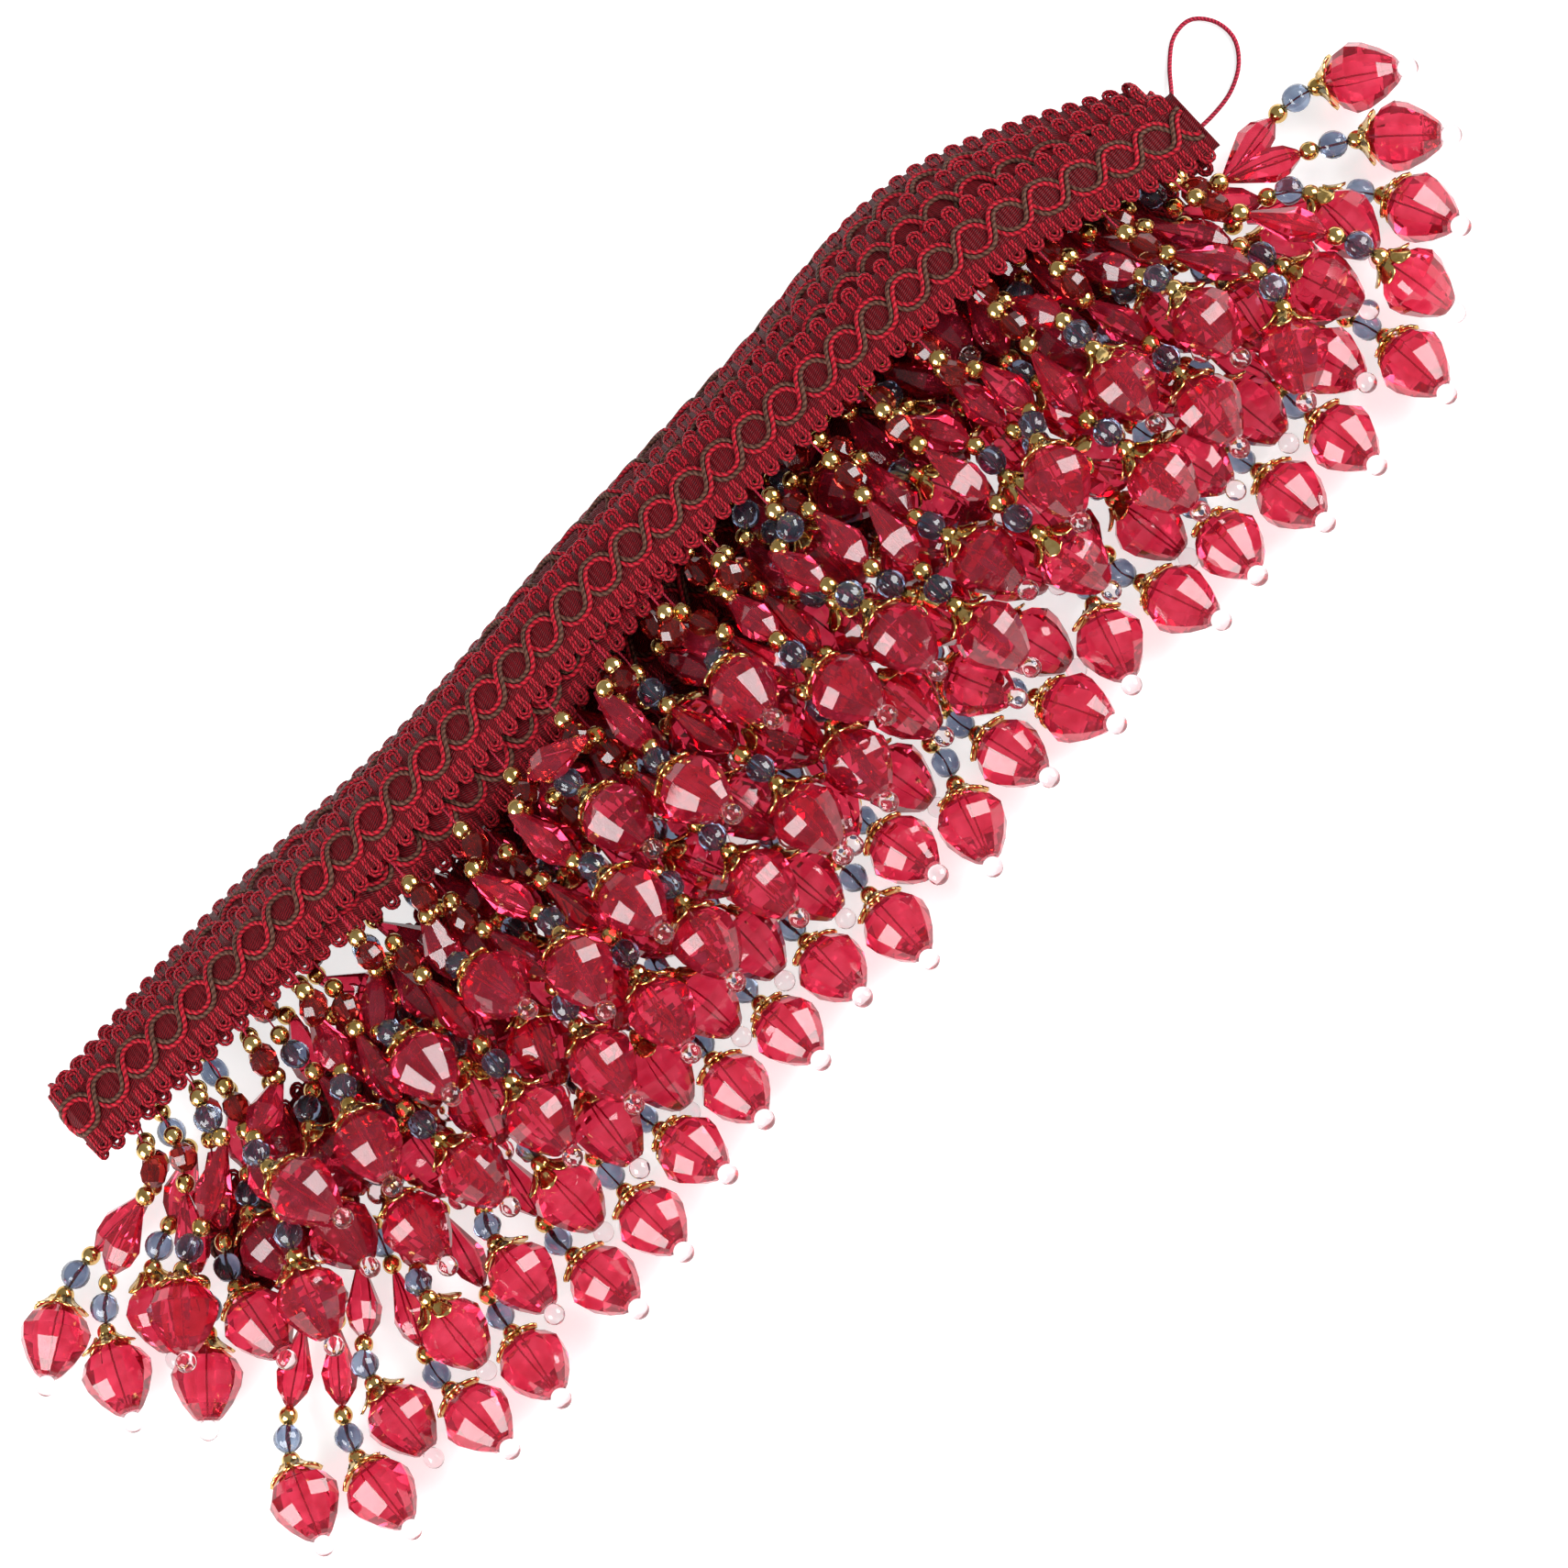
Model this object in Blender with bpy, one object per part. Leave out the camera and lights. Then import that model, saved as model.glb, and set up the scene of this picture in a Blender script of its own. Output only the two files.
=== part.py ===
"""A beaded fringe trim: two metres of gimp braid with strands of beads hanging from one edge.

The trim is folded back and forth along its length into a hank of six lays, which lies on a
table with the strands spread in front of it. X runs along the hank, the beads lie towards -Y
and Z is up. The folded braid is one solid, each lay's strands are fused to the narrow heading
strip that carries them, and a loop of sewing thread comes off the right-hand end.
Sizes below are in millimetres, and the meshes are in metres.
"""
import math

import bmesh
import bpy
import numpy as np
from mathutils import Matrix

MM = 0.001

# The gimp braid
BRAID_WIDTH = 19.5
BRAID_THICK = 1.7
FOLD_STEPS = 6
STATION_PITCH = 12.5

# The heading strip along the braid's front edge
STRIP_GAP = 0.5
STRIP_WIDTH = 1.8
STRIP_THICK = 1.4
STRIP_ROOT_WIDTH = 1.8

# One strand, from its root down: what is threaded on it, how long and how wide each bead is
STRAND_START = 1.5
STRAND_BEADS = (
    ("gold", 4.0, 4.0),
    ("garnet", 6.0, 6.0),
    ("gold", 4.0, 4.0),
    ("drop", 16.0, 7.8),
    ("gold", 4.0, 4.0),
    ("blue", 6.0, 6.0),
    ("gold", 4.0, 4.0),
    ("big", 15.5, 14.8),
    ("ball", 4.4, 4.4),
)
STRANDS_PER_LAY = 20
THREAD_RADIUS = 1.3

# The balls that stand for each bead while the strands sink, as (place along the bead, radius)
# shares of its length and of half its width
ROUND_BALLS = ((0.5, 1.0),)
DROP_BALLS = ((0.2, 0.64), (0.5, 1.0), (0.8, 0.86))
BIG_BALLS = ((0.36, 1.0), (0.8, 0.62))

# The same shares for the rings of the solids
DROP_WIDEST = 0.54
BIG_WIDEST = 0.36
BIG_TIP = (0.9, 0.42)
BALL_END = (0.8, 0.7)
DROP_NECK = 1.0
BIG_NECK = 0.8

# The lays from the table up. At each station along X: how far back the middle of the braid
# lies from the front of the hank, how high it is, and how steeply its front and rear halves
# slope down to the back.
STATIONS = (-150, -100, -50, 0, 50, 100, 150)
LAYS = (
    dict(
        name="1",
        ends=(-148, 140),
        back=(76, 83, 99, 105, 110, 112, 109),
        height=(0.85, 0.85, 0.85, 0.85, 0.85, 0.85, 0.85),
        front=(0, 0, 0, 0, 0, 0, 0),
        rear=(0, 0, 0, 0, 0, 0, 0),
    ),
    dict(
        name="2",
        ends=(-148, 148),
        back=(80, 91, 104, 118, 123, 125, 120),
        height=(4.8, 5.5, 5.5, 5.5, 5.0, 5.0, 5.0),
        front=(0, 0, 0, 0, 0, 0, 0),
        rear=(0, 0, 0, 0, 0, 0, 0),
    ),
    dict(
        name="3",
        ends=(-151, 148),
        back=(123, 132, 135, 143, 148, 152, 123),
        height=(8.2, 9.5, 9.6, 9.7, 9.8, 10.0, 9.0),
        front=(5, 16, 21, 23, 24, 25, 2),
        rear=(14, 46, 55, 61, 64, 65, 4),
    ),
    dict(
        name="4",
        ends=(-151, 146),
        back=(121, 123, 127, 132.5, 140, 146, 124),
        height=(12.6, 16.8, 17.1, 18.2, 18.4, 18.0, 12.8),
        front=(3, 5, 9, 12, 14, 14, 2),
        rear=(9, 26, 30, 33, 36, 38, 4),
    ),
    dict(
        name="5",
        ends=(-152, 146),
        back=(117, 116, 112, 123, 132, 136.5, 121),
        height=(17.2, 22.8, 23.8, 24.8, 25.0, 25.2, 16.6),
        front=(-3, -4, -2, 3, 7, 8, 2),
        rear=(9, 20, 16, 12, 17, 22, 4),
    ),
    dict(
        name="6",
        ends=(-152, 153),
        back=(117, 118, 121, 125.5, 126, 125.5, 116),
        height=(21.6, 27.6, 28.6, 29.2, 29.3, 29.3, 20.4),
        front=(-6, -8, -6, -3, 0, 1, 0),
        rear=(14, 30, 22, 10, 4, 3, 0),
    ),
)

# Where the roots start and end along a lay, and how far each strand's tip lies beside its root:
# more towards the two ends of the hank, and a little at random
ROOT_MARGIN = 2.0
FIRST_ROOT = (0.7, 0.3)
SPLAY = 19.0
SPLAY_AT = 150.0
SPLAY_POWER = 3
WANDER = 6.0
SEED = 16

# Sinking the strands on to the table and on to each other
SINK_ROUNDS = 420
SINK_STEP = 0.35
TIDY_ROUNDS = 160
LOOSE_GAP = 0.9
ROOT_STIFFNESS = 0.3
SOFT_BEND = 0.25
STIFF_BEND = 0.8
DROP_MIDDLE = 5
START_LIFT = 9.0
START_LIFT_OVER = 30.0
LINK_PULL = 0.9
PAIR_MARGIN = 3.5
PAIR_ROUNDS = 8
SINK_PARTINGS = 2
TIDY_PARTINGS = 4

# How far past a lay's edges its neighbours' strands keep clear of it
FRONT_CLEAR = 4.0
REAR_CLEAR = 2.0
END_CLEAR = 4.0

# The loop of sewing thread at the right-hand end: its route, chosen by hand
THREAD_DIAMETER = 0.95
THREAD_POINTS = 40
THREAD_ROUTE = (
    (150.5, 127.0, 3.0),
    (153.5, 131.0, 1.6),
    (157.0, 136.0, 0.6),
    (161.5, 140.0, 0.6),
    (166.5, 140.5, 0.6),
    (170.0, 136.5, 0.6),
    (170.5, 131.0, 0.6),
    (167.5, 126.0, 0.6),
    (162.5, 122.8, 0.6),
    (157.0, 121.5, 0.9),
    (151.0, 121.0, 1.6),
)


def smooth(stations, values, x):
    """A smooth curve through values at even stations, read at x, level with them at its ends."""
    values = np.asarray(values, float)
    step = stations[1] - stations[0]
    place = np.clip((np.asarray(x, float) - stations[0]) / step, 0, len(values) - 1)
    i = np.minimum(place.astype(int), len(values) - 2)
    f = place - i
    slopes = np.gradient(values)
    a, b, m, n = values[i], values[i + 1], slopes[i], slopes[i + 1]
    return (
        a * (1 + 2 * f) * (1 - f) ** 2
        + m * f * (1 - f) ** 2
        + b * f * f * (3 - 2 * f)
        - n * f * f * (1 - f)
    )


def lay_at(lay, x):
    """(how far back, how high, front slope, rear slope) of a lay at x, in radians."""
    back = smooth(STATIONS, lay["back"], x)
    height = np.maximum(smooth(STATIONS, lay["height"], x), BRAID_THICK / 2)
    front = np.radians(smooth(STATIONS, lay["front"], x))
    rear = np.radians(smooth(STATIONS, lay["rear"], x))
    return back, height, front, rear


def across(front):
    """The direction from the middle of a lay to its front edge."""
    return np.stack([np.zeros_like(front), -np.cos(front), np.sin(front)], -1)


def back_across(rear):
    """The direction from the middle of a lay to its back edge."""
    return np.stack([np.zeros_like(rear), np.cos(rear), -np.sin(rear)], -1)


def braid_path():
    """The middle line of the whole folded braid, and its front and rear slopes at each point."""
    middle, slopes = [], []
    for number, lay in enumerate(LAYS):
        low, high = lay["ends"]
        count = round((high - low) / STATION_PITCH) + 1
        xs = np.linspace(low, high, count)
        if number % 2 == 0:
            xs = xs[::-1]
        back, height, front, rear = lay_at(lay, xs)
        middle += list(np.stack([xs, back, height], -1))
        slopes += list(np.stack([front, rear], -1))
        if number + 1 < len(LAYS):
            start, end_slopes = middle[-1], slopes[-1]
            back, height, front, rear = lay_at(LAYS[number + 1], xs[-1])
            next_slopes = np.array([front, rear])
            rise = height - start[2]
            outward = -1 if number % 2 == 0 else 1
            for step in range(1, FOLD_STEPS):
                turn = math.pi * step / FOLD_STEPS
                f = (1 - math.cos(turn)) / 2
                x = start[0] + outward * rise / 2 * math.sin(turn)
                middle.append(
                    np.array([x, start[1] + f * (back - start[1]), start[2] + f * rise])
                )
                slopes.append(end_slopes + f * (next_slopes - end_slopes))
    return np.array(middle), np.array(slopes)


def strand_spheres():
    """Places along a strand and the radius there, for keeping the strands apart."""
    places, radii = [0.0], [STRIP_THICK / 2]
    at = STRAND_START
    for kind, length, width in STRAND_BEADS:
        balls = {"drop": DROP_BALLS, "big": BIG_BALLS}.get(kind, ROUND_BALLS)
        for share, size in balls:
            places.append(at + share * length)
            radii.append(size * width / 2)
        at += length
    return np.array(places), np.array(radii)


def stiffness(places):
    """How stiffly each point of a strand keeps to the line between its neighbours."""
    stiff = np.full(len(places), SOFT_BEND)
    stiff[DROP_MIDDLE] = STIFF_BEND
    stiff[-len(BIG_BALLS) - 1 :] = STIFF_BEND
    return stiff


def strand_roots():
    """For each strand: its lay's number, its root on the heading strip and where it heads."""
    rng = np.random.default_rng(SEED)
    rows = []
    for number, lay in enumerate(LAYS):
        low, high = lay["ends"]
        pitch = (high - low - 2 * ROOT_MARGIN) / STRANDS_PER_LAY
        first = low + ROOT_MARGIN + pitch * FIRST_ROOT[number % 2]
        for j in range(STRANDS_PER_LAY):
            x = first + j * pitch
            splay = math.copysign(SPLAY * abs(x / SPLAY_AT) ** SPLAY_POWER, x)
            ahead = splay + rng.uniform(-WANDER, WANDER)
            rows.append((number, x, ahead))
    return rows


def lay_surface(lay, x, y):
    """(height of a lay's middle at x, y, and whether the lay or its strip is there)."""
    back, height, front, rear = lay_at(lay, x)
    off = y - back
    half = BRAID_WIDTH / 2
    inside = off > -half * np.cos(front) - STRIP_WIDTH - FRONT_CLEAR
    inside &= off < half * np.cos(rear) + REAR_CLEAR
    inside &= (x > lay["ends"][0] - END_CLEAR) & (x < lay["ends"][1] + END_CLEAR)
    return height - off * np.tan(np.where(off < 0, front, rear)), inside


def touching_pairs(points, radii, strand, margin):
    """Pairs of points, not next to each other on one strand, that nearly touch."""
    square = (points * points).sum(1)
    apart = square[:, None] + square[None, :] - 2 * points @ points.T
    reach = radii[:, None] + radii[None, :] + margin
    near = np.triu(apart < reach * reach, 1)
    follows = np.arange(len(points) - 1)
    same = strand[:-1] == strand[1:]
    near[follows[same], follows[same] + 1] = False
    return np.nonzero(near)


def part_spheres(points, radii, pairs, gap):
    """Moves the points of each touching pair apart by half of their overlap each."""
    i, j = pairs
    apart = points[j] - points[i]
    far = np.linalg.norm(apart, axis=1)
    need = radii[i] + radii[j] + gap - far
    hit = need > 0
    i, j, apart, far, need = i[hit], j[hit], apart[hit], far[hit], need[hit]
    push = apart / np.maximum(far, 1e-6)[:, None] * need[:, None] * 0.5
    np.add.at(points, i, -push)
    np.add.at(points, j, push)


def lift_between_lays(points, radii, number):
    """How far up each point moves to be above the lays under its own, and under those above it."""
    lift = np.zeros(points.shape[:2])
    for other, lay in enumerate(LAYS):
        surface, inside = lay_surface(lay, points[..., 0], points[..., 1])
        room = BRAID_THICK / 2 + radii + LOOSE_GAP
        above = inside & (number > other) & (points[..., 2] < surface + room)
        below = inside & (number < other) & (points[..., 2] > surface - room)
        lift = np.where(above, surface + room - points[..., 2], lift)
        lift = np.where(below, surface - room - points[..., 2], lift)
    return lift


def settled_strands():
    """The strands sunk on to the table and on to each other, none of them overlapping."""
    places, radii = strand_spheres()
    rows = strand_roots()
    count, each = len(rows), len(places)
    line = np.zeros((count, each, 3))
    for s, (number, x, ahead) in enumerate(rows):
        lay = LAYS[number]
        back, height, front, _ = lay_at(lay, x)
        root = np.array([x, back, height]) + across(front) * (
            BRAID_WIDTH / 2 + STRIP_GAP + STRIP_WIDTH
        )
        reach = places[-1]
        forward = math.sqrt(reach**2 - ahead**2)
        line[s, :, 0] = root[0] + places / reach * ahead
        line[s, :, 1] = root[1] - places / reach * forward
        line[s, :, 2] = root[2] + START_LIFT * number * np.minimum(places / START_LIFT_OVER, 1)
    links = np.diff(places)
    stiff = stiffness(places)
    weight = np.ones(each)
    weight[:2] = 0.0
    line[:, 1, 2] = np.maximum(line[:, 0, 2], radii[1])
    roots = line[:, :2].copy()
    all_radii = np.tile(radii, count)
    strand = np.repeat(np.arange(count), each)
    own_lay = np.array([row[0] for row in rows])[:, None]
    between = (radii[1:] + radii[:-1]) / 2
    for turn in range(SINK_ROUNDS + TIDY_ROUNDS):
        sinking = turn < SINK_ROUNDS
        if sinking:
            line[:, 1:, 2] -= SINK_STEP
        for m in range(1, each - 1):
            link = line[:, m + 1] - line[:, m]
            far = np.linalg.norm(link, axis=1)
            pull = link * ((far - links[m]) / np.maximum(far, 1e-6))[:, None]
            share = weight[m] / (weight[m] + weight[m + 1])
            line[:, m] += pull * share * LINK_PULL
            line[:, m + 1] -= pull * (1 - share) * LINK_PULL
        for m in range(2, each - 1):
            before, after = links[m - 1], links[m]
            straight = (line[:, m - 1] * after + line[:, m + 1] * before) / (before + after)
            bend = (straight - line[:, m]) * stiff[m]
            line[:, m] += bend * 0.5
            line[:, m + 1] -= bend * 0.25
            line[:, m - 1] -= bend * 0.25
        outward = line[:, 1] - line[:, 0]
        outward /= np.linalg.norm(outward, axis=1)[:, None]
        line[:, 2] += (line[:, 1] + outward * links[1] - line[:, 2]) * ROOT_STIFFNESS
        line[:, :2] = roots
        flat = line.reshape(-1, 3)
        if turn % PAIR_ROUNDS == 0:
            pairs = touching_pairs(flat, all_radii, strand, PAIR_MARGIN)
        line[..., 2] += lift_between_lays(line, radii, own_lay)
        halfway = (line[:, 1:] + line[:, :-1]) / 2
        lift = lift_between_lays(halfway, between, own_lay)
        line[:, 1:, 2] += lift
        line[:, :-1, 2] += lift
        for _ in range(SINK_PARTINGS if sinking else TIDY_PARTINGS):
            part_spheres(flat, all_radii, pairs, LOOSE_GAP)
            flat[:, 2] = np.maximum(flat[:, 2], all_radii)
            line[:, :2] = roots
    return rows, line


def named_object(name, mesh, material):
    """A new object of a mesh, with its own material."""
    mesh.materials.append(material)
    item = bpy.data.objects.new(name, mesh)
    bpy.context.collection.objects.link(item)
    return item


def plain_material(name, color, roughness, metallic=0.0):
    """A Principled material of one colour."""
    material = bpy.data.materials.new(name)
    material.use_nodes = True
    shader = material.node_tree.nodes["Principled BSDF"]
    shader.inputs["Base Color"].default_value = (*color, 1)
    shader.inputs["Roughness"].default_value = roughness
    shader.inputs["Metallic"].default_value = metallic
    return material


def closed_mesh(name, points, faces):
    """A mesh in metres from points in millimetres, with all its faces outward."""
    mesh = bpy.data.meshes.new(name)
    mesh.from_pydata([tuple(p * MM) for p in points], [], faces)
    model = bmesh.new()
    model.from_mesh(mesh)
    bmesh.ops.recalc_face_normals(model, faces=model.faces)
    model.to_mesh(mesh)
    model.free()
    return mesh


def make_braid(material):
    """The folded gimp braid: one ribbon, swept along its middle line."""
    middle, slopes = braid_path()
    ahead = np.gradient(middle, axis=0)
    to_front, to_back = across(slopes[:, 0]), back_across(slopes[:, 1])
    ring = []
    for edge, direction in ((1, to_front), (0, to_front - to_back), (1, to_back)):
        normal = np.cross(ahead, direction)
        normal /= np.linalg.norm(normal, axis=1)[:, None] * (-1 if direction is to_back else 1)
        place = middle + direction * BRAID_WIDTH / 2 * edge
        ring.append((place + normal * BRAID_THICK / 2, place - normal * BRAID_THICK / 2))
    (front_up, front_down), (middle_up, middle_down), (back_up, back_down) = ring
    rings = np.stack([front_up, front_down, middle_down, back_down, back_up, middle_up], 1)
    points = rings.reshape(-1, 3)
    each = rings.shape[1]
    last = each * (len(middle) - 1)
    faces = [tuple(range(each)), tuple(range(last, last + each))]
    for i in range(0, last, each):
        for k in range(each):
            n = (k + 1) % each
            faces.append((i + k, i + n, i + each + n, i + each + k))
    return named_object("braid", closed_mesh("braid", points, faces), material)


def strand_rings():
    """Places along a strand of its solid's rings, and their radii."""
    at, rings = STRAND_START, []
    for kind, length, width in STRAND_BEADS:
        if kind in ("garnet", "blue"):
            rings.append((at + length / 2, width / 2))
        elif kind == "drop":
            rings.append((at - DROP_NECK, THREAD_RADIUS))
            rings.append((at + DROP_WIDEST * length, width / 2))
            rings.append((at + length + DROP_NECK, THREAD_RADIUS))
        elif kind == "big":
            rings.append((at - BIG_NECK, THREAD_RADIUS))
            rings.append((at + BIG_WIDEST * length, width / 2))
            rings.append((at + BIG_TIP[0] * length, BIG_TIP[1] * width / 2))
        elif kind == "ball":
            rings.append((at + BALL_END[0] * length, BALL_END[1] * width / 2))
        at += length
    return rings


def make_fringe(number, lines, xs, material):
    """One lay's heading strip with its strands, each drawn out of the strip's front face."""
    lay = LAYS[number]
    low, high = lay["ends"]
    half = STRIP_ROOT_WIDTH / 2
    stations = [low + 1.0]
    for x in xs:
        stations += [x - half, x + half]
    stations.append(high - 1.0)
    stations = np.array(stations)
    back, height, front_slope, _ = lay_at(lay, stations)
    cross = across(front_slope)
    up = np.cross([-1.0, 0.0, 0.0], cross)
    middle = np.stack([stations, back, height], -1)
    rear = middle + cross * (BRAID_WIDTH / 2 + STRIP_GAP)
    front = middle + cross * (BRAID_WIDTH / 2 + STRIP_GAP + STRIP_WIDTH)
    thick = up * STRIP_THICK / 2
    points = list(
        np.stack([front - thick, front + thick, rear + thick, rear - thick], 1).reshape(-1, 3)
    )
    faces = [(0, 1, 2, 3)]
    last = 4 * (len(stations) - 1)
    faces.append((last, last + 1, last + 2, last + 3))
    places, _ = strand_spheres()
    rings = strand_rings()
    for i in range(len(stations) - 1):
        a, b = 4 * i, 4 * i + 4
        faces += [(a + 1, a + 2, b + 2, b + 1), (a + 2, a + 3, b + 3, b + 2)]
        faces.append((a + 3, a, b, b + 3))
        if i % 2 == 0:
            faces.append((a, a + 1, b + 1, b))
            continue
        line = lines[i // 2]
        ring = (a, a + 1, b + 1, b)
        side = np.array([-1.0, 0.0, 0.0])
        for place, radius in rings:
            centre = np.array([np.interp(place, places, line[:, k]) for k in range(3)])
            centre[2] = max(centre[2], radius)
            near = [[np.interp(place + d, places, line[:, k]) for k in range(3)] for d in (-2, 2)]
            ahead = np.subtract(near[1], near[0])
            ahead /= np.linalg.norm(ahead)
            side = side - ahead * (side @ ahead)
            side /= np.linalg.norm(side)
            upward = np.cross(side, ahead)
            start = len(points)
            points += [centre + radius * d for d in (side, upward, -side, -upward)]
            new = (start, start + 1, start + 2, start + 3)
            for k in range(4):
                n = (k + 1) % 4
                faces.append((ring[k], ring[n], new[n], new[k]))
            ring = new
        faces.append(ring)
    name = f"fringe_{lay['name']}"
    return named_object(name, closed_mesh(name, points, faces), material)


def make_thread_loop(shift, material):
    """The loop of sewing thread, as a tube along a smooth curve through its route."""
    route = np.array(THREAD_ROUTE)
    stations = np.arange(len(route))
    at = np.linspace(0, len(route) - 1, THREAD_POINTS)
    line = np.stack([smooth(stations, route[:, k], at) for k in range(3)], -1) + shift
    curve = bpy.data.curves.new("thread_loop", "CURVE")
    curve.dimensions = "3D"
    curve.bevel_depth = THREAD_DIAMETER / 2 * MM
    curve.bevel_resolution = 2
    curve.use_fill_caps = True
    spline = curve.splines.new("POLY")
    spline.points.add(len(line) - 1)
    for point, place in zip(spline.points, line):
        point.co = (*(place * MM), 1)
    return named_object("thread_loop", curve, material)


def centre_hank(items):
    """Moves the middle of the hank's footprint to the origin, and returns how far in millimetres."""
    corners = np.array([corner.co for item in items for corner in item.data.vertices])
    low, high = corners.min(0), corners.max(0)
    shift = np.array([-(low[0] + high[0]) / 2, -(low[1] + high[1]) / 2, 0.0])
    for item in items:
        item.data.transform(Matrix.Translation(shift))
    return shift / MM


def main():
    for item in list(bpy.data.objects):
        bpy.data.objects.remove(item, do_unlink=True)
    crimson = plain_material("crimson_gimp", (0.32, 0.012, 0.03), 0.7)
    ruby = plain_material("ruby_beads", (0.45, 0.01, 0.045), 0.12)
    thread = plain_material("crimson_thread", (0.25, 0.01, 0.02), 0.8)
    rows, lines = settled_strands()
    items = [make_braid(crimson)]
    for number in range(len(LAYS)):
        own = [s for s, row in enumerate(rows) if row[0] == number]
        items.append(make_fringe(number, lines[own], [rows[s][1] for s in own], ruby))
    shift = centre_hank(items)
    make_thread_loop(shift, thread)


main()
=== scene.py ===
"""The looks of a beaded fringe trim: yarns, picots and chain of its gimp braid, and each bead.

The braid's folded path and the lines that the strands lie on come from the same sizes and the
same sinking of the strands as the solids. Sizes below are in millimetres, meshes in metres.
"""
import math

import bpy
import numpy as np
from mathutils import Matrix, Vector


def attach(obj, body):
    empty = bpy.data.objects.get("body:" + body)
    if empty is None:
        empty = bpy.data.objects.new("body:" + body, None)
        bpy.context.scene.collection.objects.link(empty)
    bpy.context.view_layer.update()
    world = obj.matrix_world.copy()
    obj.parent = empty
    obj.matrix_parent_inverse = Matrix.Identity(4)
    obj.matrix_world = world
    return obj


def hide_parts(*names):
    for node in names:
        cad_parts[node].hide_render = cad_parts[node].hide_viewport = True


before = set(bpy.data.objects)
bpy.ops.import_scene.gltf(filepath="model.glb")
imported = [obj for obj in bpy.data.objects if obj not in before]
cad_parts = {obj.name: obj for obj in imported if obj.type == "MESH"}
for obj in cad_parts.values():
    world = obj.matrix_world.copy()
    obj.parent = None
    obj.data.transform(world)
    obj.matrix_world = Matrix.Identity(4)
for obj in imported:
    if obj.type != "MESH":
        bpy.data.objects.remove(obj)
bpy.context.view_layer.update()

MM = 0.001

# The photograph: a long lens from 70 degrees above the table, rolled by 42 degrees
CAMERA_DISTANCE = 3000.0
CAMERA_ELEVATION = 70.0
CAMERA_ROLL = 42.0
SENSOR_WIDTH = 36.0
VIEW_WIDTH = 319.6

# From the hank's front edge at Y = 0, as the lays are measured, to the middle of its footprint
HANK_SHIFT = (1.16, -81.396, 0.0)
VIEW_CENTRE = (HANK_SHIFT[0] - 0.4, HANK_SHIFT[1] + 76.0, 0.0)

# The gimp braid
BRAID_WIDTH = 19.5
BRAID_THICK = 1.7
STRIP_GAP = 0.5
STRIP_WIDTH = 1.8
STRIP_THICK = 1.4

# One strand, from its root down: what is threaded on it, how long and how wide each bead is
STRAND_START = 1.5
BIG_LENGTH = 15.5
STRAND_BEADS = (
    ("gold", 4.0, 4.0),
    ("garnet", 6.0, 6.0),
    ("gold", 4.0, 4.0),
    ("drop", 16.0, 7.8),
    ("gold", 4.0, 4.0),
    ("blue", 6.0, 6.0),
    ("gold", 4.0, 4.0),
    ("big", BIG_LENGTH, 14.8),
    ("ball", 4.4, 4.4),
)
STRANDS_PER_LAY = 20

# The balls that stand for each bead while the strands sink, as (place along the bead, radius)
# shares of its length and of half its width
ROUND_BALLS = ((0.5, 1.0),)
DROP_BALLS = ((0.2, 0.64), (0.5, 1.0), (0.8, 0.86))
BIG_BALLS = ((0.36, 1.0), (0.8, 0.62))
BIG_WIDEST = 0.36

# The faceted beads' outlines: place along the bead as a share of its length, and radius
DROP_ROWS = ((0, 0.9), (0.16, 1.75), (0.58, 3.9), (0.8, 3.2), (0.97, 1.3), (1, 0.8))
DROP_SIDES = 7
BIG_ROWS = (
    (0, 1.9),
    (0.05, 3.1),
    (0.19, 5.9),
    (0.37, 7.4),
    (0.55, 6.9),
    (0.78, 5.1),
    (0.96, 3.0),
    (1, 2.2),
)
BIG_SIDES = 10

# The other beads: rows of points along the bead, sides and radius of the hole
GOLD_SHAPE = (10, 14, 0.55)
GARNET_SHAPE = (5, 8, 1.1)
BLUE_SHAPE = (9, 24, 0.8)
BALL_SHAPE = (10, 14, 0.4)
BLUE_FLUTES = 8
BLUE_FLUTE_DEPTH = 0.12
BLUE_SHARE = 0.25
BALL_OVERLAP = 0.3

# The petal cap: its collar's outline, and petals of rows by lanes of points on two faces
COLLAR = ((-1.2, 1.0), (-1.05, 1.6), (-0.5, 1.8), (-0.1, 2.2))
COLLAR_SIDES = 12
PETALS = 5
PETAL_ROWS = 6
PETAL_LANES = 5
PETAL_SPREAD = 37.0
PETAL_TIP_SPREAD = 5.0
PETAL_THICK = 0.32
RIM_RIDGE = 0.3
MIDDLE_RIDGE = 0.28
CAP_TURN = 0.3

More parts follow.
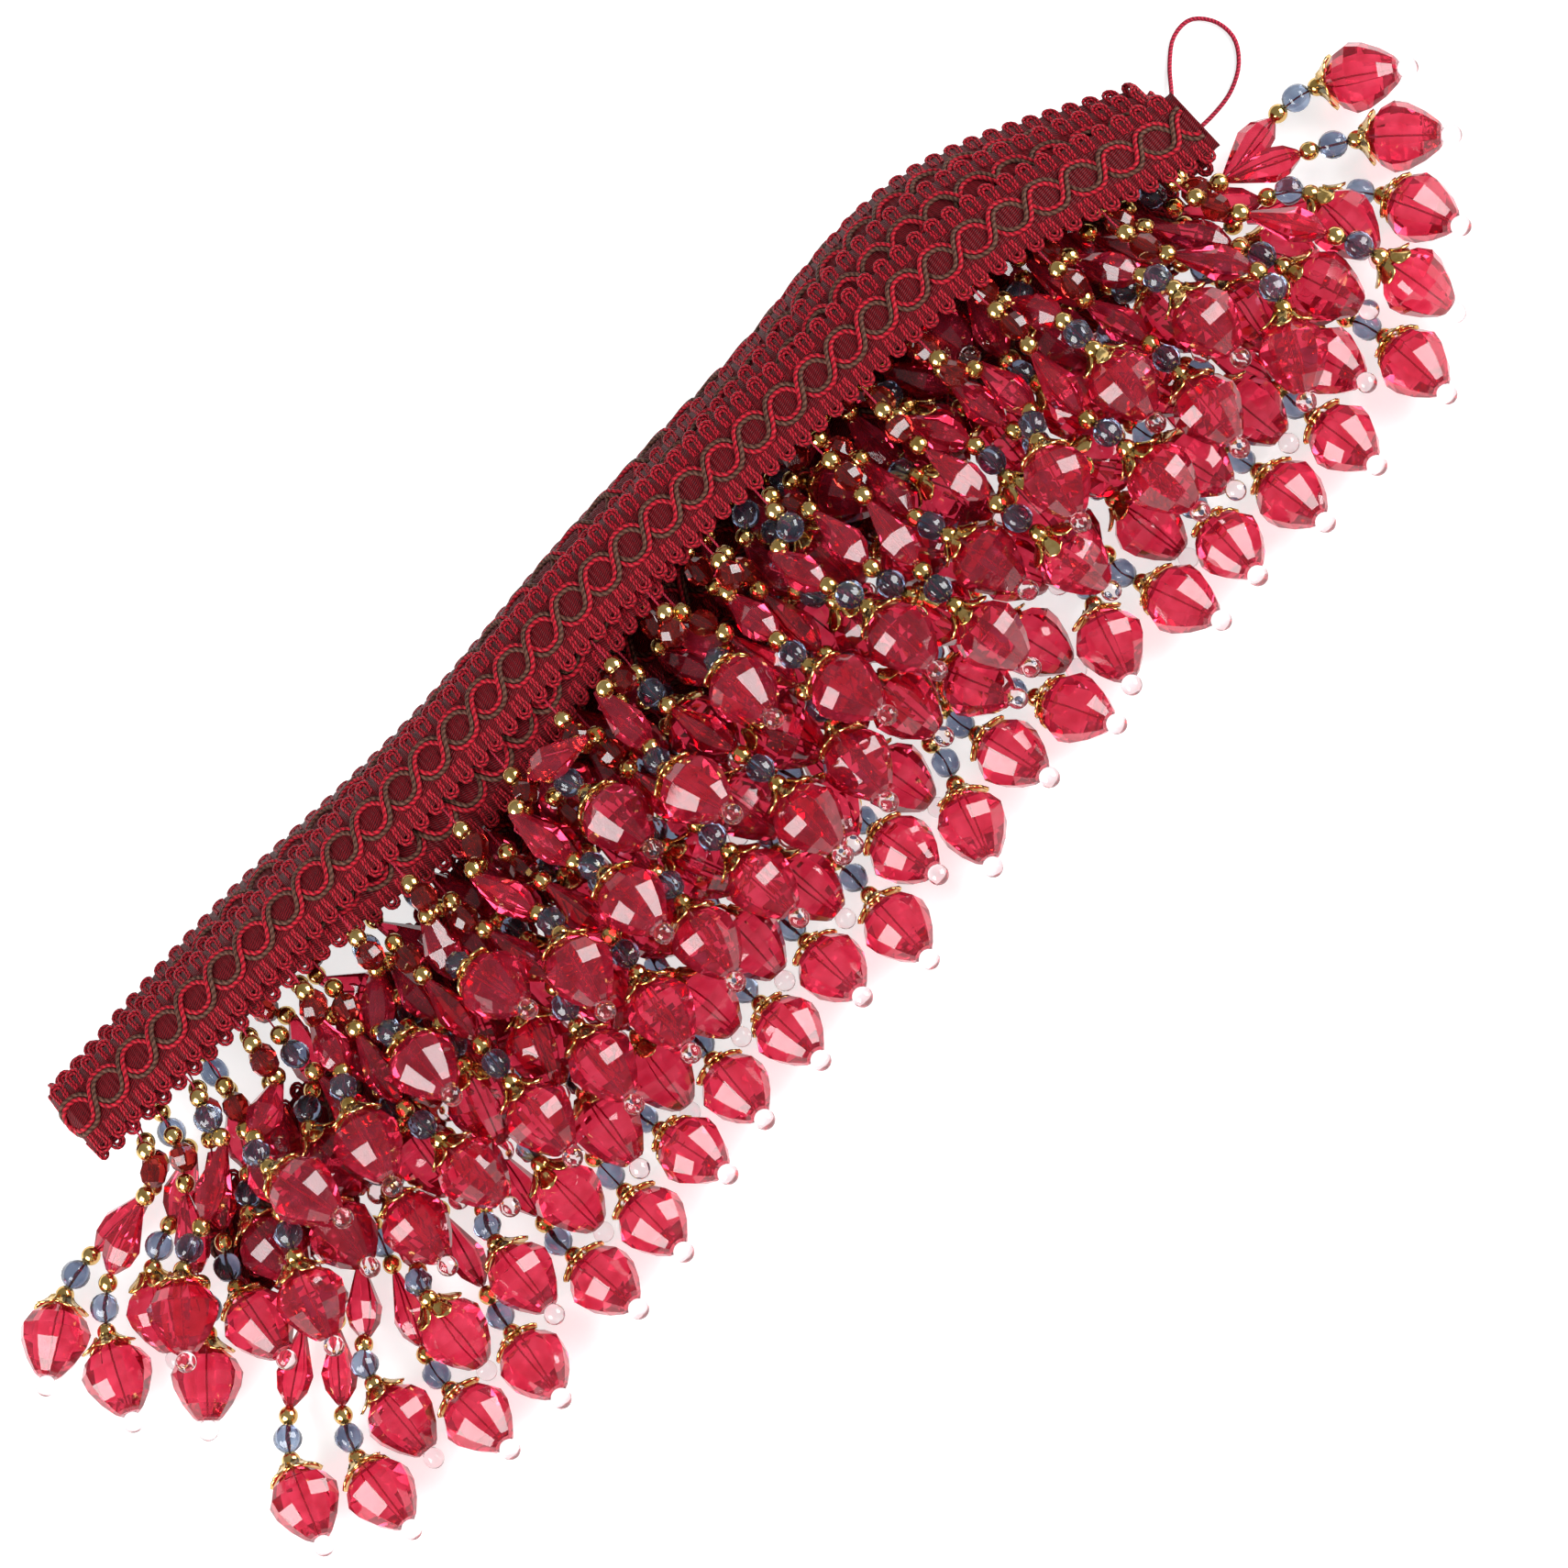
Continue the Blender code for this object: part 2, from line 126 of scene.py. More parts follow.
# The lays from the table up. At each station along X: how far back the middle of the braid
# lies from the front of the hank, how high it is, and how steeply its front and rear halves
# slope down to the back.
STATIONS = (-150, -100, -50, 0, 50, 100, 150)
LAYS = (
    dict(
        ends=(-148, 140),
        back=(76, 83, 99, 105, 110, 112, 109),
        height=(0.85, 0.85, 0.85, 0.85, 0.85, 0.85, 0.85),
        front=(0, 0, 0, 0, 0, 0, 0),
        rear=(0, 0, 0, 0, 0, 0, 0),
    ),
    dict(
        ends=(-148, 148),
        back=(80, 91, 104, 118, 123, 125, 120),
        height=(4.8, 5.5, 5.5, 5.5, 5.0, 5.0, 5.0),
        front=(0, 0, 0, 0, 0, 0, 0),
        rear=(0, 0, 0, 0, 0, 0, 0),
    ),
    dict(
        ends=(-151, 148),
        back=(123, 132, 135, 143, 148, 152, 123),
        height=(8.2, 9.5, 9.6, 9.7, 9.8, 10.0, 9.0),
        front=(5, 16, 21, 23, 24, 25, 2),
        rear=(14, 46, 55, 61, 64, 65, 4),
    ),
    dict(
        ends=(-151, 146),
        back=(121, 123, 127, 132.5, 140, 146, 124),
        height=(12.6, 16.8, 17.1, 18.2, 18.4, 18.0, 12.8),
        front=(3, 5, 9, 12, 14, 14, 2),
        rear=(9, 26, 30, 33, 36, 38, 4),
    ),
    dict(
        ends=(-152, 146),
        back=(117, 116, 112, 123, 132, 136.5, 121),
        height=(17.2, 22.8, 23.8, 24.8, 25.0, 25.2, 16.6),
        front=(-3, -4, -2, 3, 7, 8, 2),
        rear=(9, 20, 16, 12, 17, 22, 4),
    ),
    dict(
        ends=(-152, 153),
        back=(117, 118, 121, 125.5, 126, 125.5, 116),
        height=(21.6, 27.6, 28.6, 29.2, 29.3, 29.3, 20.4),
        front=(-6, -8, -6, -3, 0, 1, 0),
        rear=(14, 30, 22, 10, 4, 3, 0),
    ),
)

# Where the roots start and end along a lay, how the strands splay and wander, and how they
# sink on to the table and on to each other, as in the solids
ROOT_MARGIN = 2.0
FIRST_ROOT = (0.7, 0.3)
SPLAY = 19.0
SPLAY_AT = 150.0
SPLAY_POWER = 3
WANDER = 6.0
SEED = 16
SINK_ROUNDS = 420
SINK_STEP = 0.35
TIDY_ROUNDS = 160
LOOSE_GAP = 0.9
ROOT_STIFFNESS = 0.3
SOFT_BEND = 0.25
STIFF_BEND = 0.8
DROP_MIDDLE = 5
START_LIFT = 9.0
START_LIFT_OVER = 30.0
LINK_PULL = 0.9
PAIR_MARGIN = 3.5
PAIR_ROUNDS = 8
SINK_PARTINGS = 2
TIDY_PARTINGS = 4

# How far past a lay's edges its neighbours' strands keep clear of it
FRONT_CLEAR = 4.0
REAR_CLEAR = 2.0
END_CLEAR = 4.0

# The weave of the braid, with each yarn's radius
PATH_STEP = 0.4
PATH_POINTS = 400
FOLD_POINTS = 26
FOLD_ROUNDING = 5.0
RIB_PITCH = 1.2
GROUND_HALF = 7.7
GROUND_THICK = 1.0
PICOT_PITCH = 4.4
PICOT_ROOT = 4.6
PICOT_YARN = 0.33
CHAIN_PITCH = 8.5
CHAIN_REACH = 3.6
CHAIN_YARN = 0.5
CHAIN_HEIGHT = 0.72
CHAIN_CROSSING = 0.3

THREAD_YARN = 0.22
FLOOR_GAP = 0.05

# Materials: the scale of the changes of shade, and the beads' index of refraction
YARN_NOISE = 900.0
GLASS_NOISE = 260.0
GOLD_NOISE = 350.0
GLASS_IOR = 1.49

# The floor, and the two softboxes beside the camera
FLOOR_HALF = 3.0
FLOOR_SHADE = 0.45
FLOOR_GLOW = 0.7
SOFTBOX_OFF_AXIS = 56.0
SOFTBOX_DISTANCE = 1.2
SOFTBOX_SIZE = 0.85
SOFTBOX_POWER = 27.0
WORLD_LIGHT = 0.32

# The loop of sewing thread at the right-hand end: its route, listed point by point
THREAD_DIAMETER = 0.95
THREAD_POINTS = 40
THREAD_ROUTE = (
    (150.5, 127.0, 3.0),
    (153.5, 131.0, 1.6),
    (157.0, 136.0, 0.6),
    (161.5, 140.0, 0.6),
    (166.5, 140.5, 0.6),
    (170.0, 136.5, 0.6),
    (170.5, 131.0, 0.6),
    (167.5, 126.0, 0.6),
    (162.5, 122.8, 0.6),
    (157.0, 121.5, 0.9),
    (151.0, 121.0, 1.6),
)


# The camera
def unit(v):
    v = np.asarray(v, float)
    return v / np.linalg.norm(v)


def look_camera():
    """The camera at the photograph's angle."""
    lift, roll = math.radians(CAMERA_ELEVATION), math.radians(CAMERA_ROLL)
    towards = np.array([0, -math.cos(lift), math.sin(lift)])
    level_up = np.array([0, math.sin(lift), math.cos(lift)])
    right = math.cos(roll) * np.array([1.0, 0, 0]) - math.sin(roll) * level_up
    up = math.sin(roll) * np.array([1.0, 0, 0]) + math.cos(roll) * level_up
    place = (np.array(VIEW_CENTRE) + towards * CAMERA_DISTANCE) * MM
    data = bpy.data.cameras.new("camera")
    data.sensor_width = SENSOR_WIDTH
    data.lens = SENSOR_WIDTH * CAMERA_DISTANCE / VIEW_WIDTH
    data.clip_end = 100.0
    item = bpy.data.objects.new("camera", data)
    item.matrix_world = Matrix(
        [
            (right[0], up[0], towards[0], place[0]),
            (right[1], up[1], towards[1], place[1]),
            (right[2], up[2], towards[2], place[2]),
            (0, 0, 0, 1),
        ]
    )
    bpy.context.collection.objects.link(item)
    bpy.context.scene.camera = item


# Where the braid and the strands lie, as in the solids
def smooth(stations, values, x):
    """A smooth curve through values at even stations, read at x, level with them at its ends."""
    values = np.asarray(values, float)
    step = stations[1] - stations[0]
    place = np.clip((np.asarray(x, float) - stations[0]) / step, 0, len(values) - 1)
    i = np.minimum(place.astype(int), len(values) - 2)
    f = place - i
    slopes = np.gradient(values)
    a, b, m, n = values[i], values[i + 1], slopes[i], slopes[i + 1]
    return (
        a * (1 + 2 * f) * (1 - f) ** 2
        + m * f * (1 - f) ** 2
        + b * f * f * (3 - 2 * f)
        - n * f * f * (1 - f)
    )


def lay_at(lay, x):
    """(how far back, how high, front slope, rear slope) of a lay at x, in radians."""
    back = smooth(STATIONS, lay["back"], x)
    height = np.maximum(smooth(STATIONS, lay["height"], x), BRAID_THICK / 2)
    front = np.radians(smooth(STATIONS, lay["front"], x))
    rear = np.radians(smooth(STATIONS, lay["rear"], x))
    return back, height, front, rear


def across(front):
    """The direction from the middle of a lay to its front edge."""
    return np.stack([np.zeros_like(front), -np.cos(front), np.sin(front)], -1)


def back_across(rear):
    """The direction from the middle of a lay to its back edge."""
    return np.stack([np.zeros_like(rear), np.cos(rear), -np.sin(rear)], -1)


def strand_spheres():
    """Places along a strand and the radius there, for keeping the strands apart."""
    places, radii = [0.0], [STRIP_THICK / 2]
    at = STRAND_START
    for kind, length, width in STRAND_BEADS:
        balls = {"drop": DROP_BALLS, "big": BIG_BALLS}.get(kind, ROUND_BALLS)
        for share, size in balls:
            places.append(at + share * length)
            radii.append(size * width / 2)
        at += length
    return np.array(places), np.array(radii)


def stiffness(places):
    """How stiffly each point of a strand keeps to the line between its neighbours."""
    stiff = np.full(len(places), SOFT_BEND)
    stiff[DROP_MIDDLE] = STIFF_BEND
    stiff[-len(BIG_BALLS) - 1 :] = STIFF_BEND
    return stiff


def strand_roots():
    """For each strand: its lay's number, its root on the heading strip and where it heads."""
    rng = np.random.default_rng(SEED)
    rows = []
    for number, lay in enumerate(LAYS):
        low, high = lay["ends"]
        pitch = (high - low - 2 * ROOT_MARGIN) / STRANDS_PER_LAY
        first = low + ROOT_MARGIN + pitch * FIRST_ROOT[number % 2]
        for j in range(STRANDS_PER_LAY):
            x = first + j * pitch
            splay = math.copysign(SPLAY * abs(x / SPLAY_AT) ** SPLAY_POWER, x)
            ahead = splay + rng.uniform(-WANDER, WANDER)
            rows.append((number, x, ahead))
    return rows


def lay_surface(lay, x, y):
    """(height of a lay's middle at x, y, and whether the lay or its strip is there)."""
    back, height, front, rear = lay_at(lay, x)
    off = y - back
    half = BRAID_WIDTH / 2
    inside = off > -half * np.cos(front) - STRIP_WIDTH - FRONT_CLEAR
    inside &= off < half * np.cos(rear) + REAR_CLEAR
    inside &= (x > lay["ends"][0] - END_CLEAR) & (x < lay["ends"][1] + END_CLEAR)
    return height - off * np.tan(np.where(off < 0, front, rear)), inside


def touching_pairs(points, radii, strand, margin):
    """Pairs of points, not next to each other on one strand, that nearly touch."""
    square = (points * points).sum(1)
    apart = square[:, None] + square[None, :] - 2 * points @ points.T
    reach = radii[:, None] + radii[None, :] + margin
    near = np.triu(apart < reach * reach, 1)
    follows = np.arange(len(points) - 1)
    same = strand[:-1] == strand[1:]
    near[follows[same], follows[same] + 1] = False
    return np.nonzero(near)


def part_spheres(points, radii, pairs, gap):
    """Moves the points of each touching pair apart by half of their overlap each."""
    i, j = pairs
    apart = points[j] - points[i]
    far = np.linalg.norm(apart, axis=1)
    need = radii[i] + radii[j] + gap - far
    hit = need > 0
    i, j, apart, far, need = i[hit], j[hit], apart[hit], far[hit], need[hit]
    push = apart / np.maximum(far, 1e-6)[:, None] * need[:, None] * 0.5
    np.add.at(points, i, -push)
    np.add.at(points, j, push)


def lift_between_lays(points, radii, number):
    """How far up each point moves to be above the lays under its own, and under those above it."""
    lift = np.zeros(points.shape[:2])
    for other, lay in enumerate(LAYS):
        surface, inside = lay_surface(lay, points[..., 0], points[..., 1])
        room = BRAID_THICK / 2 + radii + LOOSE_GAP
        above = inside & (number > other) & (points[..., 2] < surface + room)
        below = inside & (number < other) & (points[..., 2] > surface - room)
        lift = np.where(above, surface + room - points[..., 2], lift)
        lift = np.where(below, surface - room - points[..., 2], lift)
    return lift


def settled_strands():
    """The strands sunk on to the table and on to each other, none of them overlapping."""
    places, radii = strand_spheres()
    rows = strand_roots()
    count, each = len(rows), len(places)
    line = np.zeros((count, each, 3))
    for s, (number, x, ahead) in enumerate(rows):
        lay = LAYS[number]
        back, height, front, _ = lay_at(lay, x)
        root = np.array([x, back, height]) + across(front) * (
            BRAID_WIDTH / 2 + STRIP_GAP + STRIP_WIDTH
        )
        reach = places[-1]
        forward = math.sqrt(reach**2 - ahead**2)
        line[s, :, 0] = root[0] + places / reach * ahead
        line[s, :, 1] = root[1] - places / reach * forward
        line[s, :, 2] = root[2] + START_LIFT * number * np.minimum(places / START_LIFT_OVER, 1)
    links = np.diff(places)
    stiff = stiffness(places)
    weight = np.ones(each)
    weight[:2] = 0.0
    line[:, 1, 2] = np.maximum(line[:, 0, 2], radii[1])
    roots = line[:, :2].copy()
    all_radii = np.tile(radii, count)
    strand = np.repeat(np.arange(count), each)
    own_lay = np.array([row[0] for row in rows])[:, None]
    between = (radii[1:] + radii[:-1]) / 2
    for turn in range(SINK_ROUNDS + TIDY_ROUNDS):
        sinking = turn < SINK_ROUNDS
        if sinking:
            line[:, 1:, 2] -= SINK_STEP
        for m in range(1, each - 1):
            link = line[:, m + 1] - line[:, m]
            far = np.linalg.norm(link, axis=1)
            pull = link * ((far - links[m]) / np.maximum(far, 1e-6))[:, None]
            share = weight[m] / (weight[m] + weight[m + 1])
            line[:, m] += pull * share * LINK_PULL
            line[:, m + 1] -= pull * (1 - share) * LINK_PULL
        for m in range(2, each - 1):
            before, after = links[m - 1], links[m]
            straight = (line[:, m - 1] * after + line[:, m + 1] * before) / (before + after)
            bend = (straight - line[:, m]) * stiff[m]
            line[:, m] += bend * 0.5
            line[:, m + 1] -= bend * 0.25
            line[:, m - 1] -= bend * 0.25
        outward = line[:, 1] - line[:, 0]
        outward /= np.linalg.norm(outward, axis=1)[:, None]
        line[:, 2] += (line[:, 1] + outward * links[1] - line[:, 2]) * ROOT_STIFFNESS
        line[:, :2] = roots
        flat = line.reshape(-1, 3)
        if turn % PAIR_ROUNDS == 0:
            pairs = touching_pairs(flat, all_radii, strand, PAIR_MARGIN)
        line[..., 2] += lift_between_lays(line, radii, own_lay)
        halfway = (line[:, 1:] + line[:, :-1]) / 2
        lift = lift_between_lays(halfway, between, own_lay)
        line[:, 1:, 2] += lift
        line[:, :-1, 2] += lift
        for _ in range(SINK_PARTINGS if sinking else TIDY_PARTINGS):
            part_spheres(flat, all_radii, pairs, LOOSE_GAP)
            flat[:, 2] = np.maximum(flat[:, 2], all_radii)
            line[:, :2] = roots
    return rows, line


def braid_path():
    """Points along the middle of the folded braid, evenly spaced, with the slopes at each."""
    middle, slopes = [], []
    for number, lay in enumerate(LAYS):
        low, high = lay["ends"]
        xs = np.linspace(low, high, PATH_POINTS)
        if number % 2 == 0:
            xs = xs[::-1]
        back, height, front, rear = lay_at(lay, xs)
        middle += list(np.stack([xs, back, height], -1))
        slopes += list(np.stack([front, rear], -1))
        if number + 1 < len(LAYS):
            start, end_slopes = middle[-1], slopes[-1]
            back, height, front, rear = lay_at(LAYS[number + 1], xs[-1])
            next_slopes = np.array([front, rear])
            rise = height - start[2]
            outward = -1 if number % 2 == 0 else 1
            for f_turn in np.linspace(0, math.pi, FOLD_POINTS)[1:-1]:
                f = (1 - math.cos(f_turn)) / 2
                x = start[0] + outward * rise / 2 * math.sin(f_turn)
                y = start[1] + f * (back - start[1])
                middle.append(np.array([x, y, start[2] + f * rise]))
                slopes.append(end_slopes + f * (next_slopes - end_slopes))
    middle, slopes = np.array(middle), np.array(slopes)
    far = np.concatenate([[0], np.cumsum(np.linalg.norm(np.diff(middle, axis=0), axis=1))])
    even = np.arange(0, far[-1], PATH_STEP)
    middle = np.stack([np.interp(even, far, middle[:, k]) for k in range(3)], -1)
    slopes = np.stack([np.interp(even, far, slopes[:, k]) for k in range(2)], -1)
    return even, middle, slopes


class Braid:
    """The folded braid's surface, for placing yarns on it."""

    def __init__(self):
        self.far, self.middle, slopes = braid_path()
        self.length = self.far[-1]
        self.front, self.rear = across(slopes[:, 0]), back_across(slopes[:, 1])
        ahead = np.gradient(self.middle, axis=0)
        self.front_up = np.cross(ahead, self.front)
        self.rear_up = -np.cross(ahead, self.rear)
        self.front_up /= np.linalg.norm(self.front_up, axis=1)[:, None]
        self.rear_up /= np.linalg.norm(self.rear_up, axis=1)[:, None]

    def at(self, along, out, up):
        """Points at a distance along the braid, out to its front edge and up from its middle.

        The bend along the middle is rounded over a few millimetres.
        """
        along, out, up = np.broadcast_arrays(
            np.asarray(along, float), np.asarray(out, float), np.asarray(up, float)
        )

        def read(table):
            return np.stack([np.interp(along, self.far, table[:, k]) for k in range(3)], -1)

        share = np.clip(out / FOLD_ROUNDING + 0.5, 0, 1)[..., None]
        normal = read(self.front_up) * share + read(self.rear_up) * (1 - share)
        normal /= np.linalg.norm(normal, axis=-1, keepdims=True)
        ahead_part = read(self.front) * np.maximum(out, 0)[..., None]
        back_part = read(self.rear) * np.maximum(-out, 0)[..., None]
        return read(self.middle) + ahead_part + back_part + normal * up[..., None]


# Meshes
def tubes(lines, radius, sides, closed=False):
    """Tubes round lines of equal numbers of points: (points, faces, uv), uv as (turns, mm)."""
    lines = np.asarray(lines, float)
    count, each = lines.shape[:2]
    ahead = np.gradient(lines, axis=1)
    ahead /= np.maximum(np.linalg.norm(ahead, axis=2), 1e-9)[..., None]
    side = np.cross(ahead, np.array([0.05, 0.03, 1.0]))
    weak = np.linalg.norm(side, axis=2) < 0.2
    side[weak] = np.cross(ahead[weak], np.array([0.3, 1.0, 0.1]))
    side /= np.linalg.norm(side, axis=2)[..., None]
    up = np.cross(side, ahead)
    turn = np.arange(sides) * 2 * math.pi / sides
    radius = np.broadcast_to(np.asarray(radius, float), (count, each))[..., None, None]
    ring = (
        side[:, :, None] * np.cos(turn)[None, None, :, None]
        + up[:, :, None] * np.sin(turn)[None, None, :, None]
    )
    points = (lines[:, :, None] + ring * radius).reshape(-1, 3)
    k = np.arange(sides)
    a = np.arange(each - 1)[:, None] * sides
    quads = np.stack(
        [a + k, a + (k + 1) % sides, a + sides + (k + 1) % sides, a + sides + k], -1
    ).reshape(-1, 4)
    far = np.concatenate(
        [np.zeros((count, 1)), np.cumsum(np.linalg.norm(np.diff(lines, axis=1), axis=2), axis=1)], 1
    )
    faces = (quads[None] + (np.arange(count) * each * sides)[:, None, None]).reshape(-1, 4)
    turns = np.stack([k, k + 1, k + 1, k], -1) / sides
    turns = np.broadcast_to(turns, (count, each - 1, sides, 4))
    low, high = far[:, :-1, None], far[:, 1:, None]
    length = np.stack(np.broadcast_arrays(low, low, high, high), -1)
    length = np.broadcast_to(length, (count, each - 1, sides, 4))
    uv = np.stack([turns, length], -1).reshape(-1, 2)
    caps = []
    if not closed:
        for n in range(count):
            first = n * each * sides
            last = first + (each - 1) * sides
            caps.append(tuple(range(first, first + sides))[::-1])
            caps.append(tuple(range(last, last + sides)))
    return points, faces, uv, caps


def make_piece(name, batches, material, smooth_shade=True):
    """One object of several batches of (points, quads, uv, caps)."""
    points, loops, starts, sizes, uvs = [], [], [], [], []
    offset = 0
    at = 0
    for batch_points, quads, uv, caps in batches:
        points.append(batch_points)
        quads = np.asarray(quads).reshape(-1, 4)
        loops.append((quads + offset).ravel())
        starts.append(at + 4 * np.arange(len(quads)))
        sizes.append(np.full(len(quads), 4))
        at += 4 * len(quads)
        uvs.append(uv if uv is not None else np.zeros((4 * len(quads), 2)))
        for cap in caps:
            loops.append(np.array(cap) + offset)
            starts.append(np.array([at]))
            sizes.append(np.array([len(cap)]))
            uvs.append(np.zeros((len(cap), 2)))
            at += len(cap)
        offset += len(batch_points)
    points = np.concatenate(points) + np.array(HANK_SHIFT)
    loops, starts = np.concatenate(loops), np.concatenate(starts)
    mesh = bpy.data.meshes.new(name)
    mesh.vertices.add(len(points))
    mesh.vertices.foreach_set("co", (points * MM).astype(np.float32).ravel())
    mesh.loops.add(len(loops))
    mesh.loops.foreach_set("vertex_index", loops.astype(np.int32))
    mesh.polygons.add(len(starts))
    mesh.polygons.foreach_set("loop_start", starts.astype(np.int32))
    layer = mesh.uv_layers.new(name="yarn")
    layer.data.foreach_set("uv", np.concatenate(uvs).astype(np.float32).ravel())
    mesh.update(calc_edges=True)
    mesh.validate()
    mesh.polygons.foreach_set("use_smooth", np.full(len(mesh.polygons), smooth_shade))
    mesh.materials.append(material)
    item = bpy.data.objects.new(name, mesh)
    bpy.context.collection.objects.link(item)
    return item


def lathe(profile, sides, flute=0.0, flutes=1):
    """A bead round its axis X: profile is (place, radius) rows, closed by flat ends."""
    points, quads = [], []
    turn = np.arange(sides) * 2 * math.pi / sides
    for place, radius in profile:
        r = radius * (1 - flute * (0.5 - 0.5 * np.cos(flutes * turn)))
        points.append(np.stack([np.full(sides, place), r * np.cos(turn), r * np.sin(turn)], -1))
    for row in range(len(profile) - 1):
        for k in range(sides):
            n = (k + 1) % sides
            a = row * sides
            quads.append((a + k, a + n, a + sides + n, a + sides + k))
    last = (len(profile) - 1) * sides
    caps = [tuple(range(sides))[::-1], tuple(range(last, last + sides))]
    return np.concatenate(points), np.array(quads), caps


def placed(template, places):
    """A batch of one bead at each place: (its start, its heading, turn about its axis)."""
    points, quads, caps = template
    many, all_quads, all_caps = [], [], []
    for n, (origin, ahead, turn) in enumerate(places):
        ahead = unit(ahead)
        side = unit(np.cross(ahead, [0.02, 0.01, 1.0]))
        up = np.cross(side, ahead)
        y = side * math.cos(turn) + up * math.sin(turn)
        z = np.cross(ahead, y)
        laid = origin + points @ np.stack([ahead, y, z])
        laid[:, 2] += max(0.0, FLOOR_GAP - laid[:, 2].min())
        many.append(laid)
        all_quads.append(quads + n * len(points))
        all_caps += [tuple(c + n * len(points) for c in cap) for cap in caps]
    return np.concatenate(many), np.concatenate(all_quads), None, all_caps


def ball_profile(length, width, rows, hole):
    """A round bead's profile with a small flat round the hole at each end."""
    first = math.asin(min(1.0, hole / (width / 2)))
    turn = np.linspace(first, math.pi - first, rows)
    place = length / 2 * (1 - np.cos(turn) / math.cos(first))
    return np.stack([place, width / 2 * np.sin(turn)], -1)


# Materials
def new_material(name):
    material = bpy.data.materials.new(name)
    material.use_nodes = True
    tree = material.node_tree
    return material, tree, tree.nodes["Principled BSDF"]


def node(tree, kind, **values):
    item = tree.nodes.new(kind)
    for key, value in values.items():
        if key in item.inputs:
            item.inputs[key].default_value = value
        else:
            setattr(item, key, value)
    return item


def ramp(tree, source, stops):
    """A colour ramp of (place, colour) stops on a source."""
    item = tree.nodes.new("ShaderNodeValToRGB")
    item.color_ramp.elements[0].position = stops[0][0]
    item.color_ramp.elements[0].color = (*stops[0][1], 1)
    item.color_ramp.elements[1].position = stops[-1][0]
    item.color_ramp.elements[1].color = (*stops[-1][1], 1)
    for place, colour in stops[1:-1]:
        stop = item.color_ramp.elements.new(place)
        stop.color = (*colour, 1)
    tree.links.new(source, item.inputs["Fac"])
    return item.outputs["Color"]


def yarn_material(name, dark, light, pitch):
    """Twisted yarn: diagonal plies along each tube, their grooves painted in the dark colour as
    painted shade, and slow random changes of tone.
    """
    material, tree, shader = new_material(name)
    uv = node(tree, "ShaderNodeUVMap", uv_map="yarn")
    split = tree.nodes.new("ShaderNodeSeparateXYZ")
    tree.links.new(uv.outputs["UV"], split.inputs["Vector"])
    lead = node(tree, "ShaderNodeMath", operation="DIVIDE")
    lead.inputs[1].default_value = pitch
    tree.links.new(split.outputs["Y"], lead.inputs[0])
    turns = node(tree, "ShaderNodeMath", operation="MULTIPLY_ADD")
    turns.inputs[1].default_value = 2.0
    tree.links.new(split.outputs["X"], turns.inputs[0])
    tree.links.new(lead.outputs[0], turns.inputs[2])
    angle = node(tree, "ShaderNodeMath", operation="MULTIPLY")
    angle.inputs[1].default_value = 2 * math.pi
    tree.links.new(turns.outputs[0], angle.inputs[0])
    wave = node(tree, "ShaderNodeMath", operation="SINE")
    tree.links.new(angle.outputs[0], wave.inputs[0])
    # The ply wave: the bump of the plies, and through the colour ramp painted shade in their
    # grooves
    ply_bump_and_shade = node(tree, "ShaderNodeMapRange")
    ply_bump_and_shade.inputs["From Min"].default_value = -1.0
    tree.links.new(wave.outputs[0], ply_bump_and_shade.inputs["Value"])
    place = tree.nodes.new("ShaderNodeTexCoord")
    noise = node(tree, "ShaderNodeTexNoise", Scale=YARN_NOISE, Detail=2.0)
    tree.links.new(place.outputs["Object"], noise.inputs["Vector"])
    mixed = node(tree, "ShaderNodeMath", operation="MULTIPLY_ADD")
    mixed.inputs[1].default_value = 0.55
    tree.links.new(ply_bump_and_shade.outputs["Result"], mixed.inputs[0])
    shade = node(tree, "ShaderNodeMath", operation="MULTIPLY")
    shade.inputs[1].default_value = 0.45
    tree.links.new(noise.outputs["Fac"], shade.inputs[0])
    tree.links.new(shade.outputs[0], mixed.inputs[2])
    # Mostly the ply wave: the grooves between the plies take the dark colour, which is painted
    # shade
    colour = ramp(tree, mixed.outputs[0], ((0.15, dark), (0.8, light)))
    tree.links.new(colour, shader.inputs["Base Color"])
    shader.inputs["Roughness"].default_value = 0.5
    shader.inputs["Specular IOR Level"].default_value = 0.12
    shader.inputs["Sheen Weight"].default_value = 0.03
    shader.inputs["Sheen Roughness"].default_value = 0.4
    bump = node(tree, "ShaderNodeBump")
    bump.inputs["Strength"].default_value = 0.6
    bump.inputs["Distance"].default_value = 0.15 * MM
    tree.links.new(ply_bump_and_shade.outputs["Result"], bump.inputs["Height"])
    tree.links.new(bump.outputs["Normal"], shader.inputs["Normal"])
    return material


def glass_material(name, dark, light, transmission, roughness=0.03):
    """Coloured glass, a little uneven in colour."""
    material, tree, shader = new_material(name)
    place = tree.nodes.new("ShaderNodeTexCoord")
    noise = node(tree, "ShaderNodeTexNoise", Scale=GLASS_NOISE, Detail=1.0)
    tree.links.new(place.outputs["Object"], noise.inputs["Vector"])
    colour = ramp(tree, noise.outputs["Fac"], ((0.35, dark), (0.65, light)))
    tree.links.new(colour, shader.inputs["Base Color"])
    shader.inputs["Roughness"].default_value = roughness
    shader.inputs["Transmission Weight"].default_value = transmission
    shader.inputs["IOR"].default_value = GLASS_IOR
    return material


